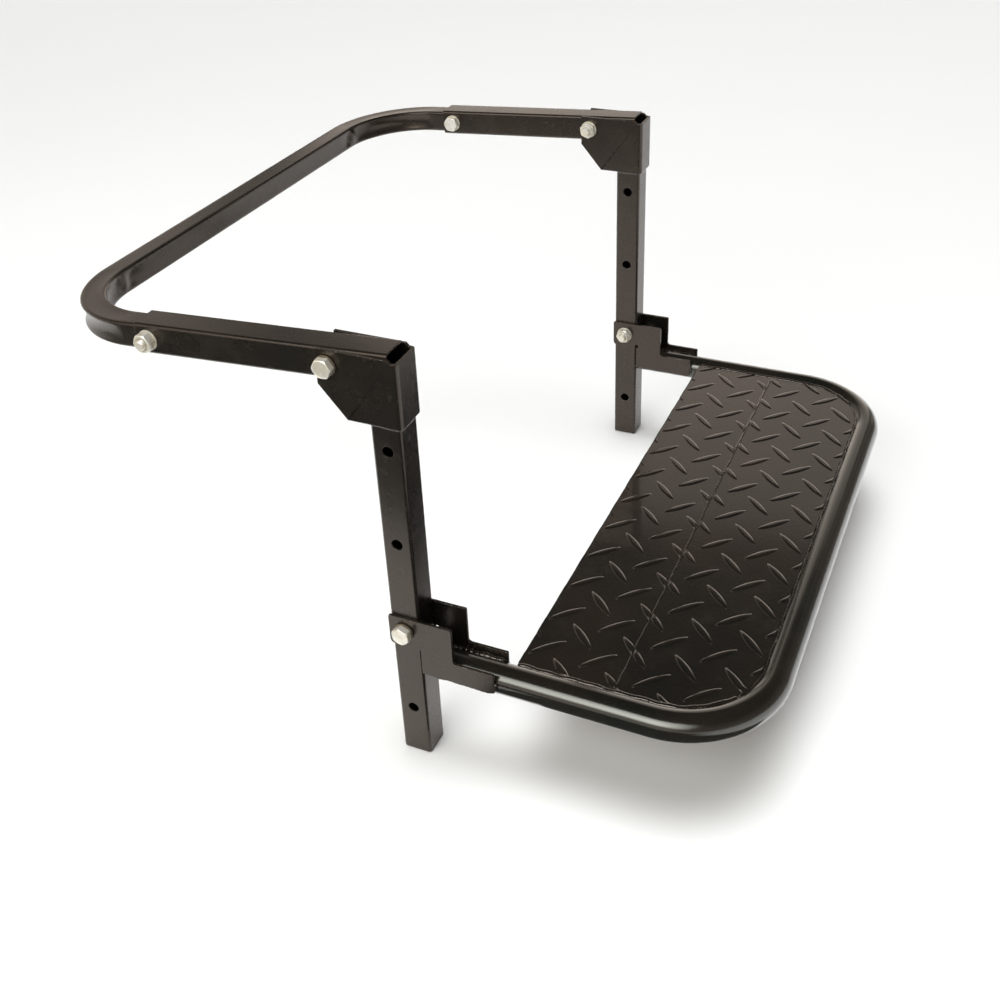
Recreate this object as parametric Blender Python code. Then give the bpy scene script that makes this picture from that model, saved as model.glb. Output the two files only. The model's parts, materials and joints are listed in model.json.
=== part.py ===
"""Hook-over folding step: a telescoping hoop, two drilled legs and a fold-up chequer deck.

The hoop and its sleeves reach along -X over what carries the step, the legs hang down -Z and
the deck stands out along +X. Left is -Y and right is +Y. The origin is the corner that hooks
on: on the plane of the legs' inner faces, where the sleeves' undersides cross it, at mid width.
"""

import math

import bmesh
import bpy
from mathutils import Matrix, Vector

# Clearances
TOUCH_GAP = 0.0003        # between two pieces that rest on or are welded to each other
HOOP_PLAY = 0.0005        # between the hoop and the sleeve's bore, on each side
BOLT_HOLE_PLAY = 0.0006   # between a bolt's shank and the holes it passes through
THREAD_GAP = 0.0003       # between a bolt's shank and its nut or washer

# Stock that the frame is made of
STOCK_SIZE = 0.030        # outer width of the legs and sleeves, and the step tube's diameter
STOCK_WALL = 0.002
SQUARE_CORNER = 0.003     # outer corner radius of the square legs and sleeves
HOOP_CORNER = 0.0025
HOOP_WALL = 0.0015
PLATE = 0.003             # thickness of the folded and the flat brackets
DECK_PLATE = 0.003

# Overall layout
LEG_SPACING = 0.635       # between the centre lines of the two legs
LEG_LENGTH = 0.422
HOOP_REACH = 0.313        # pivot axis to the centre line of the hoop's cross bar
STEP_REACH = 0.330        # leg centre line to the centre line of the step tube's cross bar
HOOP_BEND = 0.092         # centre line radius of the hoop's two bends
STEP_BEND = 0.092
ARM_DROOP = math.radians(3.4)   # how far the hoop hangs below square to the legs

# Leg holes, counted from the foot
FIRST_HOLE = 0.057
HOLE_PITCH = 0.100
HOLE_COUNT = 4
STEP_HOLE = 1             # the hole that the step is bolted through, counted from 0

# Corner brackets
PIVOT_SETBACK = 0.035     # pivot axis to the plane of the legs' inner faces
PIVOT_END_MARGIN = 0.0105
CHEEK_RISE = 0.015        # pivot axis to the cheeks' top edge
BRACKET_OVERLAP = 0.038   # how far the bracket runs down the leg
BRACKET_FOLD = 0.002      # inner radius of the folds
CHAMFER_START = 0.020     # pivot axis down to where the cheeks' lower corner is cut
CHAMFER_LENGTH = 0.026
WEB_STEP = 0.003          # how much lower the web's top is than the cheeks'

# Sleeves and the hoop's adjustment
SLEEVE_LENGTH = 0.2625
SLEEVE_HEEL = 0.0585      # how far a sleeve runs past the pivot, into the bracket
LOCK_INSET = 0.014        # sleeve's open end to the lock bolt
HOOP_TRAVEL = 0.080       # how far the hoop slides out
SLOT_END_MARGIN = 0.020   # hoop metal past the end of its slot

# Step brackets, measured from the fold axis
LUG_RISE = 0.016
LUG_FRONT = 0.016
LUG_BACK = 0.0495
LUG_DROP = 0.018
NECK_DROP = 0.0245        # top edge of the strip that holds the tube
STRIP_DROP = 0.047
STRIP_END = 0.091
RELIEF_RADIUS = 0.0022
STEP_DROP = 0.0425        # fold axis down to the step tube's centre line

# Deck
DECK_SETBACK = 0.102      # leg centre line to the deck's open edge
INNER_PANEL = 0.0962      # depth of the panel next to the legs
DECK_RISE = 0.011         # step tube's centre line up to the tread surface

# Fasteners
BOLT_DIAMETER = 0.010
HEX_WIDTH = 1.7 * BOLT_DIAMETER
HEAD_HEIGHT = 0.0066
NUT_HEIGHT = 0.0084
WASHER_DIAMETER = 2.0 * BOLT_DIAMETER
WASHER_THICKNESS = 0.0018
BOLT_TAIL = 0.0035        # thread that stands out of the nut

# Facets
ROUND_SIDES = 18
TUBE_SIDES = 20
BEND_STEPS = 10
CORNER_STEPS = 3

# Places that follow from the sizes
HALF_SPACING = LEG_SPACING / 2
HALF_STOCK = STOCK_SIZE / 2
HOOP_SIZE = STOCK_SIZE - 2 * STOCK_WALL - 2 * HOOP_PLAY
PLATE_INSIDE = HALF_STOCK + TOUCH_GAP
PLATE_OUTSIDE = PLATE_INSIDE + PLATE
BOLT_RADIUS = BOLT_DIAMETER / 2
HOLE_RADIUS = BOLT_RADIUS + BOLT_HOLE_PLAY
LEG_TOP = -TOUCH_GAP
LEG_FOOT = LEG_TOP - LEG_LENGTH
LEG_X = HALF_STOCK
STEP_AXIS = Vector((LEG_X, 0, LEG_FOOT + FIRST_HOLE + STEP_HOLE * HOLE_PITCH))
HEEL_RUN = (PIVOT_SETBACK - HALF_STOCK * math.sin(ARM_DROOP)) / math.cos(ARM_DROOP)
PIVOT_RISE = HALF_STOCK * math.cos(ARM_DROOP) - HEEL_RUN * math.sin(ARM_DROOP)
HOOP_AXIS = Vector((-PIVOT_SETBACK, 0, PIVOT_RISE))
SLEEVE_MOUTH = SLEEVE_HEEL - SLEEVE_LENGTH
LOCK_X = SLEEVE_MOUTH + LOCK_INSET
HOOP_END = LOCK_X + HOOP_TRAVEL + SLOT_END_MARGIN
STEP_WIDTH_CUT = 2 * (HALF_SPACING + STOCK_SIZE)


def clear_scene():
    for obj in list(bpy.data.objects):
        bpy.data.objects.remove(obj, do_unlink=True)


def paint(name, colour, roughness, metallic):
    mat = bpy.data.materials.new(name)
    mat.use_nodes = True
    shader = mat.node_tree.nodes["Principled BSDF"]
    shader.inputs["Base Color"].default_value = (*colour, 1.0)
    shader.inputs["Roughness"].default_value = roughness
    shader.inputs["Metallic"].default_value = metallic
    return mat


# Outlines -------------------------------------------------------------------------------


def circle(radius, sides=ROUND_SIDES):
    turns = [2 * math.pi * k / sides for k in range(sides)]
    return [(radius * math.cos(t), radius * math.sin(t)) for t in turns]


def hex_radius(angle):
    """Distance from the centre to a hexagon's edge, in the direction of angle."""
    within = (angle + math.pi / 6) % (math.pi / 3) - math.pi / 6
    return HEX_WIDTH / 2 / math.cos(within)


def filleted(corners, steps=CORNER_STEPS):
    """Outline through (a, b, radius) corners, each rounded by an arc that touches both edges."""
    outline = []
    for k, (a, b, radius) in enumerate(corners):
        here = Vector((a, b))
        if radius == 0:
            outline.append((a, b))
            continue
        to_last = (Vector(corners[k - 1][:2]) - here).normalized()
        to_next = (Vector(corners[(k + 1) % len(corners)][:2]) - here).normalized()
        half = to_last.angle(to_next) / 2
        bisector = (to_last + to_next).normalized()
        centre = here + bisector * (radius / math.sin(half))
        first = (here + to_last * (radius / math.tan(half)) - centre).normalized()
        last = (here + to_next * (radius / math.tan(half)) - centre).normalized()
        for step in range(steps + 1):
            outline.append(tuple(centre + first.slerp(last, step / steps) * radius))
    return outline


def square_section(size, corner):
    half = size / 2
    signs = [(1, -1), (1, 1), (-1, 1), (-1, -1)]
    return filleted([(half * a, half * b, corner) for a, b in signs])


# Solids ---------------------------------------------------------------------------------


def add_object(name, bm, mat=None, parent=None, location=(0, 0, 0), turn=(0, 0, 0)):
    bmesh.ops.recalc_face_normals(bm, faces=bm.faces)
    mesh = bpy.data.meshes.new(name)
    bm.to_mesh(mesh)
    bm.free()
    return place(name, mesh, mat, parent, location, turn)


def place(name, mesh, mat=None, parent=None, location=(0, 0, 0), turn=(0, 0, 0)):
    obj = bpy.data.objects.new(name, mesh)
    bpy.context.scene.collection.objects.link(obj)
    obj.parent = parent
    obj.location = location
    obj.rotation_euler = turn
    if mat:
        if not mesh.materials:
            mesh.materials.append(mat)
        mesh.shade_smooth()
        mesh.set_sharp_from_angle(angle=math.radians(35))
    return obj


def joint_axis(name, location, droop=0.0):
    empty = bpy.data.objects.new(name, None)
    bpy.context.scene.collection.objects.link(empty)
    empty.location = location
    empty.rotation_euler = (0, -droop, 0)
    return empty


def skin(rings, ring_loop=False):
    """Closed surface through rings of equal count: the ends are capped, or joined to each other."""
    bm = bmesh.new()
    rows = [[bm.verts.new(point) for point in ring] for ring in rings]
    count = len(rows[0])
    links = list(zip(rows, rows[1:]))
    if ring_loop:
        links.append((rows[-1], rows[0]))
    else:
        bm.faces.new(rows[0])
        bm.faces.new(rows[-1])
    for low, high in links:
        for k in range(count):
            near = (k + 1) % count
            bm.faces.new((low[k], low[near], high[near], high[k]))
    return bm


def tube(stations, section, bore):
    """Hollow bar: section and bore carried along the stations, joined at the open ends."""
    outer = [[m @ Vector((a, b, 0)) for a, b in section] for m in stations]
    inner = [[m @ Vector((a, b, 0)) for a, b in bore] for m in reversed(stations)]
    return skin(outer + inner, ring_loop=True)


def square_tube(stations, size, wall, corner):
    bore_corner = max(corner - wall, 0.0004)
    bore = square_section(size - 2 * wall, bore_corner)
    return tube(stations, square_section(size, corner), bore)


def station(place_at, across, up):
    """Frame whose first axis runs across the bar and whose second runs up."""
    across, up = Vector(across), Vector(up)
    frame = Matrix((across, up, across.cross(up))).transposed().to_4x4()
    frame.translation = place_at
    return frame


def u_stations(open_x, far_x, half_width, bend):
    """Stations of a bar bent to a U, flat on the local XY plane, from the -Y end to the +Y end."""
    reach = math.copysign(1, far_x - open_x)
    corner_x = far_x - reach * bend
    stations = [station((open_x, -half_width, 0), (0, -1, 0), (0, 0, 1))]
    for side in (-1, 1):
        for step in range(BEND_STEPS + 1):
            angle = math.pi / 2 * step / BEND_STEPS
            if side == 1:
                angle = math.pi / 2 - angle
            across = Vector((reach * math.sin(angle), side * math.cos(angle), 0))
            centre = Vector((corner_x, side * (half_width - bend), 0))
            stations.append(station(centre + across * bend, across, (0, 0, 1)))
    stations.append(station((open_x, half_width, 0), (0, 1, 0), (0, 0, 1)))
    return stations


def prism(outline, direction, start, end):
    """Outline extruded along Y (outline in X, Z) or along Z (outline in X, Y)."""
    if direction == "Y":
        rings = [[(a, level, b) for a, b in outline] for level in (start, end)]
    else:
        rings = [[(a, b, level) for a, b in outline] for level in (start, end)]
    return skin(rings)


def cutter(name, bm, parent=None, location=(0, 0, 0)):
    obj = add_object(name, bm, parent=parent, location=location)
    obj.hide_render = True
    obj.display_type = "WIRE"
    return obj


def bore_cutter(name, centres, parent=None, location=(0, 0, 0)):
    """Bolt holes through the whole width, along Y, at (x, z) centres."""
    bm = bmesh.new()
    turned = Matrix.Rotation(math.pi / 2, 4, "X")
    for x, z in centres:
        bmesh.ops.create_cone(
            bm, cap_ends=True, segments=ROUND_SIDES, radius1=HOLE_RADIUS, radius2=HOLE_RADIUS,
            depth=STEP_WIDTH_CUT, matrix=Matrix.Translation((x, 0, z)) @ turned)
    return cutter(name, bm, parent, location)


def cut(obj, tool, operation="DIFFERENCE"):
    modifier = obj.modifiers.new(tool.name, "BOOLEAN")
    modifier.operation = operation
    modifier.solver = "EXACT"
    modifier.object = tool


# Fasteners ------------------------------------------------------------------------------


def hex_rings(low, high):
    """Outer rings of a hexagon, chamfered at the high end by a cone that touches its flats."""
    flat = HEX_WIDTH / 2 * 0.96
    turns = [2 * math.pi * k / ROUND_SIDES for k in range(ROUND_SIDES)]
    shoulder = []
    for t in turns:
        radius = hex_radius(t)
        drop = (radius - flat) * math.tan(math.radians(30))
        shoulder.append((radius * math.cos(t), high - drop, radius * math.sin(t)))
    base = [(hex_radius(t) * math.cos(t), low, hex_radius(t) * math.sin(t)) for t in turns]
    rim = [(flat * math.cos(t), high, flat * math.sin(t)) for t in turns]
    return [base, shoulder, rim]


def round_ring(radius, level):
    return [(a, level, b) for a, b in circle(radius)]


def bolt_mesh(name, grip):
    """Hexagon bolt along Y: the head's seat at 0, the head towards +Y, the shank towards -Y."""
    tip = -(grip + NUT_HEIGHT + BOLT_TAIL)
    shank = [round_ring(BOLT_RADIUS * 0.85, tip), round_ring(BOLT_RADIUS, tip + 0.001)]
    bm = skin(shank + [round_ring(BOLT_RADIUS, 0)] + hex_rings(0, HEAD_HEIGHT))
    return finished_mesh(name, bm)


def nut_mesh(name):
    """Hexagon nut along Y: its seat at 0 and its chamfered side towards +Y."""
    bore = BOLT_RADIUS + THREAD_GAP
    rings = hex_rings(0, NUT_HEIGHT) + [round_ring(bore, NUT_HEIGHT), round_ring(bore, 0)]
    return finished_mesh(name, skin(rings, ring_loop=True))


def washer_mesh(name):
    bore = BOLT_RADIUS + THREAD_GAP
    rings = [round_ring(r, y) for r, y in (
        (bore, 0), (WASHER_DIAMETER / 2, 0),
        (WASHER_DIAMETER / 2, WASHER_THICKNESS), (bore, WASHER_THICKNESS))]
    return finished_mesh(name, skin(rings, ring_loop=True))


def finished_mesh(name, bm):
    bmesh.ops.recalc_face_normals(bm, faces=bm.faces)
    mesh = bpy.data.meshes.new(name)
    bm.to_mesh(mesh)
    bm.free()
    return mesh


def bolt_set(prefix, side, joint, half_grip, head_out, turns, meshes, zinc):
    """Bolt, nut and two washers across one leg or sleeve.

    side is -1 or 1 for the left or right, joint is (parent, x, z) of the bolt's axis, half_grip
    is from the tube's centre plane to the face the washers sit on, and turns are the angles of
    the head and the nut about the axis.
    """
    parent, x, z = joint
    label = "left" if side < 0 else "right"
    head_side = side if head_out else -side
    middle = side * HALF_SPACING
    washer_seat = half_grip + TOUCH_GAP
    seat = washer_seat + WASHER_THICKNESS + TOUCH_GAP
    pieces = [
        ("bolt", meshes["bolt", half_grip], head_side, seat, turns[0]),
        ("nut", meshes["nut"], -head_side, seat, turns[1]),
        ("head_washer", meshes["washer"], head_side, washer_seat, 0),
        ("nut_washer", meshes["washer"], -head_side, washer_seat, 0)]
    for kind, mesh, faces_side, level, turn in pieces:
        flip = 0 if faces_side > 0 else math.pi
        place(f"{prefix}_{kind}_{label}", mesh, zinc, parent,
              (x, middle + faces_side * level, z), (0, math.radians(turn), flip))


# Pieces ---------------------------------------------------------------------------------


def build_legs(black, leg_bores):
    stations = [station((0, 0, z), (1, 0, 0), (0, 1, 0)) for z in (0, LEG_LENGTH)]
    for side, label in ((-1, "left"), (1, "right")):
        bm = square_tube(stations, STOCK_SIZE, STOCK_WALL, SQUARE_CORNER)
        leg = add_object(f"leg_{label}", bm, black,
                         location=(LEG_X, side * HALF_SPACING, LEG_FOOT))
        cut(leg, leg_bores)


def channel_outline():
    """Plan of the folded bracket: two cheeks forward of a web, open towards -X."""
    front = -PIVOT_END_MARGIN
    back = PIVOT_SETBACK + STOCK_SIZE + TOUCH_GAP
    fold, out = BRACKET_FOLD, BRACKET_FOLD + PLATE
    return filleted([
        (front, -PLATE_OUTSIDE, 0), (back + PLATE, -PLATE_OUTSIDE, out),
        (back + PLATE, PLATE_OUTSIDE, out), (front, PLATE_OUTSIDE, 0),
        (front, PLATE_INSIDE, 0), (back, PLATE_INSIDE, fold),
        (back, -PLATE_INSIDE, fold), (front, -PLATE_INSIDE, 0)])


def cheek_outline():
    """Side view of the folded bracket, measured from the pivot axis."""
    front = -PIVOT_END_MARGIN
    web = PIVOT_SETBACK + STOCK_SIZE
    back = web + TOUCH_GAP + PLATE + 0.001
    low = LEG_TOP - BRACKET_OVERLAP - PIVOT_RISE
    return filleted([
        (front, CHEEK_RISE, 0.002), (front, -CHAMFER_START, 0.002),
        (front + CHAMFER_LENGTH, low, 0.002), (back, low, 0),
        (back, CHEEK_RISE - WEB_STEP, 0), (web - PLATE, CHEEK_RISE - WEB_STEP, 0),
        (web - PLATE - WEB_STEP, CHEEK_RISE, 0)])


def build_corner_brackets(black, pivot_bore):
    low = LEG_TOP - BRACKET_OVERLAP - PIVOT_RISE - 0.001
    for side, label in ((-1, "left"), (1, "right")):
        middle = (HOOP_AXIS.x, side * HALF_SPACING, HOOP_AXIS.z)
        bm = prism(channel_outline(), "Z", low, CHEEK_RISE + 0.001)
        bracket = add_object(f"corner_bracket_{label}", bm, black, location=middle)
        trim = prism(cheek_outline(), "Y", -STOCK_SIZE, STOCK_SIZE)
        cut(bracket, cutter(f"corner_bracket_trim_{label}", trim, location=middle), "INTERSECT")
        cut(bracket, pivot_bore)


def build_sleeves(black, hoop_joint, pivot_bore, lock_bore):
    stations = [station((x, 0, 0), (0, -1, 0), (0, 0, 1)) for x in (SLEEVE_MOUTH, SLEEVE_HEEL)]
    for side, label in ((-1, "left"), (1, "right")):
        bm = square_tube(stations, STOCK_SIZE, STOCK_WALL, SQUARE_CORNER)
        sleeve = add_object(f"sleeve_{label}", bm, black, hoop_joint, (0, side * HALF_SPACING, 0))
        cut(sleeve, pivot_bore)
        cut(sleeve, lock_bore)


def build_hoop(black, hoop_joint):
    stations = u_stations(HOOP_END, -HOOP_REACH, HALF_SPACING, HOOP_BEND)
    bm = square_tube(stations, HOOP_SIZE, HOOP_WALL, HOOP_CORNER)
    hoop = add_object("hoop", bm, black, hoop_joint)
    ends = [(LOCK_X - HOLE_RADIUS, LOCK_X), (LOCK_X + HOOP_TRAVEL + HOLE_RADIUS, LOCK_X)]
    front, back = ends[0][0], ends[1][0]
    slot = filleted([(front, -HOLE_RADIUS, HOLE_RADIUS * 0.99), (back, -HOLE_RADIUS, HOLE_RADIUS * 0.99),
                     (back, HOLE_RADIUS, HOLE_RADIUS * 0.99), (front, HOLE_RADIUS, HOLE_RADIUS * 0.99)],
                    steps=5)
    bm = prism(slot, "Y", -STEP_WIDTH_CUT / 2, STEP_WIDTH_CUT / 2)
    cut(hoop, cutter("hoop_slot", bm, hoop_joint))


def step_cheek_outline():
    """Flat plate from the fold bolt to the step tube, measured from the fold axis."""
    notch_x = HALF_STOCK + 0.001
    return filleted([
        (-LUG_FRONT, LUG_RISE, 0.002), (-LUG_FRONT, -LUG_DROP, 0.006),
        (notch_x, -LUG_DROP, 0), (notch_x, -STRIP_DROP, 0.001),
        (STRIP_END, -STRIP_DROP, 0.0015), (STRIP_END, -NECK_DROP, 0.0015),
        (LUG_BACK, -NECK_DROP, 0.004), (LUG_BACK, LUG_RISE, 0.002)])


def build_step_brackets(black, step_joint, step_bore):
    relief = prism([(HALF_STOCK + 0.0015 + a, b - LUG_DROP) for a, b in circle(RELIEF_RADIUS, 12)],
                   "Y", -STEP_WIDTH_CUT / 2, STEP_WIDTH_CUT / 2)
    relief_tool = cutter("step_cheek_relief", relief, step_joint)
    for side, label in ((-1, "left"), (1, "right")):
        for face, where in ((side, "outer"), (-side, "inner")):
            near = min(face * PLATE_INSIDE, face * PLATE_OUTSIDE)
            bm = prism(step_cheek_outline(), "Y", near, near + PLATE)
            cheek = add_object(f"step_cheek_{where}_{label}", bm, black, step_joint,
                               (0, side * HALF_SPACING, 0))
            cut(cheek, step_bore)
            cut(cheek, relief_tool)


def build_step_tube(black, step_joint):
    start = HALF_STOCK + TOUCH_GAP
    stations = u_stations(start, STEP_REACH, HALF_SPACING, STEP_BEND)
    outer = circle(HALF_STOCK, TUBE_SIDES)
    bore = circle(HALF_STOCK - STOCK_WALL, TUBE_SIDES)
    add_object("step_tube", tube(stations, outer, bore), black, step_joint, (0, 0, -STEP_DROP))


def panel_outline(front, back):
    """Deck outline between two X stations, TOUCH_GAP inside the step tube's bent inner side."""
    underside = DECK_RISE - DECK_PLATE
    inset = math.sqrt(HALF_STOCK ** 2 - underside ** 2) + TOUCH_GAP
    radius = STEP_BEND - inset
    corner_x = STEP_REACH - STEP_BEND
    corner_y = HALF_SPACING - STEP_BEND
    first = math.asin(min(max((front - corner_x) / radius, 0), 1))
    last = math.asin(min(max((back - corner_x) / radius, 0), 1))
    half = []
    if front < corner_x:
        half.append((front, corner_y + radius))
    if back > corner_x:
        for step in range(BEND_STEPS + 1):
            angle = first + (last - first) * step / BEND_STEPS
            half.append((corner_x + radius * math.sin(angle), corner_y + radius * math.cos(angle)))
    else:
        half.append((back, corner_y + radius))
    return half + [(x, -y) for x, y in reversed(half)]


def build_deck(tread, step_joint):
    top = DECK_RISE - STEP_DROP
    underside = DECK_RISE - DECK_PLATE
    inner_side = STEP_REACH - math.sqrt(HALF_STOCK ** 2 - underside ** 2) - TOUCH_GAP
    seam = DECK_SETBACK + INNER_PANEL
    spans = {"deck_panel_inner": (DECK_SETBACK, seam), "deck_panel_outer": (seam + TOUCH_GAP, inner_side)}
    for name, (front, back) in spans.items():
        bm = prism(panel_outline(front, back), "Z", top - DECK_PLATE, top)
        add_object(name, bm, tread, step_joint)


def build_fasteners(zinc, hoop_joint):
    bracket_grip, sleeve_grip = PLATE_OUTSIDE, HALF_STOCK
    seat_stack = WASHER_THICKNESS + 2 * TOUCH_GAP
    meshes = {"nut": nut_mesh("hex_nut"), "washer": washer_mesh("flat_washer")}
    for half_grip in (bracket_grip, sleeve_grip):
        meshes["bolt", half_grip] = bolt_mesh("hex_bolt", 2 * (half_grip + seat_stack))
    pivot = (None, HOOP_AXIS.x, HOOP_AXIS.z)
    fold = (None, STEP_AXIS.x, STEP_AXIS.z)
    lock = (hoop_joint, LOCK_X, 0)
    for side in (-1, 1):
        bolt_set("pivot", side, pivot, bracket_grip, True, (28, 5), meshes, zinc)
        bolt_set("step", side, fold, bracket_grip, True, (8, 40), meshes, zinc)
        bolt_set("lock", side, lock, sleeve_grip, False, (22, 34), meshes, zinc)


def main():
    clear_scene()
    black = paint("black_paint", (0.012, 0.011, 0.010), 0.30, 0.0)
    tread = paint("black_tread_paint", (0.014, 0.013, 0.012), 0.38, 0.0)
    zinc = paint("zinc_plate", (0.66, 0.64, 0.58), 0.32, 1.0)

    hoop_joint = joint_axis("hoop_axis", HOOP_AXIS, ARM_DROOP)
    step_joint = joint_axis("step_axis", STEP_AXIS)
    leg_bores = bore_cutter("leg_bores", [
        (LEG_X, LEG_FOOT + FIRST_HOLE + k * HOLE_PITCH) for k in range(HOLE_COUNT)])
    pivot_bore = bore_cutter("pivot_bore", [(0, 0)], location=HOOP_AXIS)
    lock_bore = bore_cutter("lock_bore", [(LOCK_X, 0)], hoop_joint)
    step_bore = bore_cutter("step_bore", [(0, 0)], step_joint)

    build_legs(black, leg_bores)
    build_corner_brackets(black, pivot_bore)
    build_sleeves(black, hoop_joint, pivot_bore, lock_bore)
    build_hoop(black, hoop_joint)
    build_step_brackets(black, step_joint, step_bore)
    build_step_tube(black, step_joint)
    build_deck(tread, step_joint)
    build_fasteners(zinc, hoop_joint)
    bpy.context.view_layer.update()


main()
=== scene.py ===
import itertools
import json
import math

import bmesh
import bpy
import numpy as np
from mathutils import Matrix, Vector


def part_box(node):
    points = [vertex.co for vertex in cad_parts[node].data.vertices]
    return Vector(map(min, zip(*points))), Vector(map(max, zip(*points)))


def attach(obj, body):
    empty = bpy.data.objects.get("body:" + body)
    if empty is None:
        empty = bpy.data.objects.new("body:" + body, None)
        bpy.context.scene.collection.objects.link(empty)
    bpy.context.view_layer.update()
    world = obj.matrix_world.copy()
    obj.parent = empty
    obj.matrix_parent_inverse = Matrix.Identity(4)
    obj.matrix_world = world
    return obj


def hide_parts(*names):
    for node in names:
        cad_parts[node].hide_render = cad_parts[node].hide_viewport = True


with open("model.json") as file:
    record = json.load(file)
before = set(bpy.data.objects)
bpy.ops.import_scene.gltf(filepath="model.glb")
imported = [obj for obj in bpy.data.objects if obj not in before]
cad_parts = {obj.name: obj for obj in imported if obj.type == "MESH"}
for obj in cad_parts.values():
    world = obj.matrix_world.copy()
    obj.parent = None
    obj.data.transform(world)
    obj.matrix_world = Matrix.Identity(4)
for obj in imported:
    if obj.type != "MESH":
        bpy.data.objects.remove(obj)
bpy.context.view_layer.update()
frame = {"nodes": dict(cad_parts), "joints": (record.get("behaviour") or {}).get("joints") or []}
print("frame loaded:", len(frame["nodes"]), "nodes")

mm = 0.001
joints = {joint["name"]: joint for joint in frame["joints"]}


def nodeBox(node):
    # lowest and highest corner of a CAD node
    low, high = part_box(node)
    return np.array(low), np.array(high)


def localFrame(origin, along, up):
    # 3 x 4 matrix: columns are the local x, y and z directions and the origin
    along, up = np.array(along, float), np.array(up, float)
    return np.column_stack([along, np.cross(up, along), up, origin])


def moved(points, place):
    # each point's local x, y, z times the frame's three directions, plus the origin
    return points @ place[:, :3].T + place[:, 3]


def shifted(place, x, y, z):
    # the same frame with its origin moved
    place = place.copy()
    place[:, 3] += np.array([x, y, z])
    return place


slideAxis = np.array(joints["hoop_reach"]["axis"], float)
armUp = np.array([slideAxis[2], 0, -slideAxis[0]])
armFrame = localFrame(joints["hoop_fold"]["pos_m"], -slideAxis, armUp)
stepFrame = localFrame(joints["step_fold"]["pos_m"], (1, 0, 0), (0, 0, 1))
sides = {"left": -1, "right": 1}
legLow, legHigh = nodeBox("leg_right")
halfStock = (legHigh[0] - legLow[0]) / 2
armY = (legLow[1] + legHigh[1]) / 2
# the flat plates lie 0.3 mm off the square tubes and are 3 mm thick
plateInside = halfStock + 0.3 * mm
plateOutside = plateInside + 3 * mm


def gridFaces(rows, columns, wrapRows=False, wrapColumns=False):
    # quads between neighbouring rows and columns; a wrapped side joins its last line to its first
    r = np.arange(rows if wrapRows else rows - 1)[:, None]
    c = np.arange(columns if wrapColumns else columns - 1)[None, :]
    nextR, nextC = (r + 1) % rows, (c + 1) % columns
    corners = [r * columns + c, r * columns + nextC, nextR * columns + nextC, nextR * columns + c]
    return np.stack([np.broadcast_to(x, (r.size, c.size)) for x in corners], -1).reshape(-1, 4)


def shell(points, wrapRows=False, wrapColumns=True, capStart=False, capEnd=False):
    # one surface from a grid of points, with its first and last rows filled where asked
    rows, columns = points.shape[:2]
    faces = gridFaces(rows, columns, wrapRows, wrapColumns).tolist()
    if capStart:
        faces.append(list(range(columns))[::-1])
    if capEnd:
        faces.append(list(range((rows - 1) * columns, rows * columns)))
    return points.reshape(-1, 3), faces


def signedVolume(points, faces):
    # sum of the tetrahedra from the origin to each fan triangle of every face
    fans = [(f[0], f[k], f[k + 1]) for f in faces for k in range(1, len(f) - 1)]
    a, b, c = points[np.array(fans)].transpose(1, 0, 2)
    return np.einsum("ij,ij->i", a, np.cross(b, c)).sum() / 6


def joined(shells):
    # several shells in one list of points and faces, each turned to face outwards
    allPoints, allFaces, start = [], [], 0
    for points, faces in shells:
        if signedVolume(points - points.mean(0), faces) < 0:
            faces = [face[::-1] for face in faces]
        allPoints.append(points)
        allFaces += [[index + start for index in face] for face in faces]
        start += len(points)
    return np.concatenate(allPoints), allFaces


def newObject(name, data):
    thing = bpy.data.objects.new(name, data)
    bpy.context.scene.collection.objects.link(thing)
    return thing


def meshObject(name, points, faces):
    mesh = bpy.data.meshes.new(name)
    mesh.from_pydata(points.tolist(), [], faces)
    return newObject(name, mesh)


def makePiece(name, shells, body, materials, stands=(), place=None):
    # one mesh object at the origin, with its place worked into its points
    points, faces = joined(shells)
    if place is not None:
        points = moved(points, place)
    piece = meshObject(name, points, faces)
    for material in materials:
        piece.data.materials.append(material)
    piece.data.shade_smooth()
    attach(piece, body)
    if stands:
        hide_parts(*stands)
    return piece


def sharpen(piece, angle):
    piece.data.set_sharp_from_angle(angle=math.radians(angle))


def rounded(piece, width, segments, angle, edgeSlot=-1):
    # rounds the edges that turn by more than the angle; edgeSlot picks the material of the rounding
    bevel = piece.modifiers.new("softEdges", "BEVEL")
    bevel.width = width
    bevel.segments = segments
    bevel.limit_method = "ANGLE"
    bevel.angle_limit = math.radians(angle)
    bevel.use_clamp_overlap = False
    bevel.material = edgeSlot
    flat = piece.modifiers.new("flatFaces", "WEIGHTED_NORMAL")
    flat.keep_sharp = True
    flat.weight = 90


def cutOut(piece, tools, keepInside=False):
    # subtracts (or keeps what is inside) each closed tool shell, and stores the result as the mesh
    for tool in tools:
        cutter = meshObject("cutter", *joined([tool]))
        step = piece.modifiers.new("cut", "BOOLEAN")
        step.operation = "INTERSECT" if keepInside else "DIFFERENCE"
        step.solver = "EXACT"
        step.object = cutter
        bpy.context.view_layer.update()
        graph = bpy.context.evaluated_depsgraph_get()
        result = bpy.data.meshes.new_from_object(piece.evaluated_get(graph))
        piece.modifiers.remove(step)
        piece.data = result
        bpy.data.objects.remove(cutter)
    mergeFlats(piece.data)
    piece.data.shade_smooth()


def mergeFlats(mesh):
    # closes up slivers and joins faces that lie in one plane, so that only real edges are rounded
    work = bmesh.new()
    work.from_mesh(mesh)
    bmesh.ops.remove_doubles(work, verts=work.verts, dist=0.01 * mm)
    bmesh.ops.dissolve_degenerate(work, dist=0.005 * mm, edges=work.edges)
    bmesh.ops.dissolve_limit(work, angle_limit=math.radians(0.2), verts=work.verts, edges=work.edges)
    work.to_mesh(mesh)
    work.free()


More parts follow.
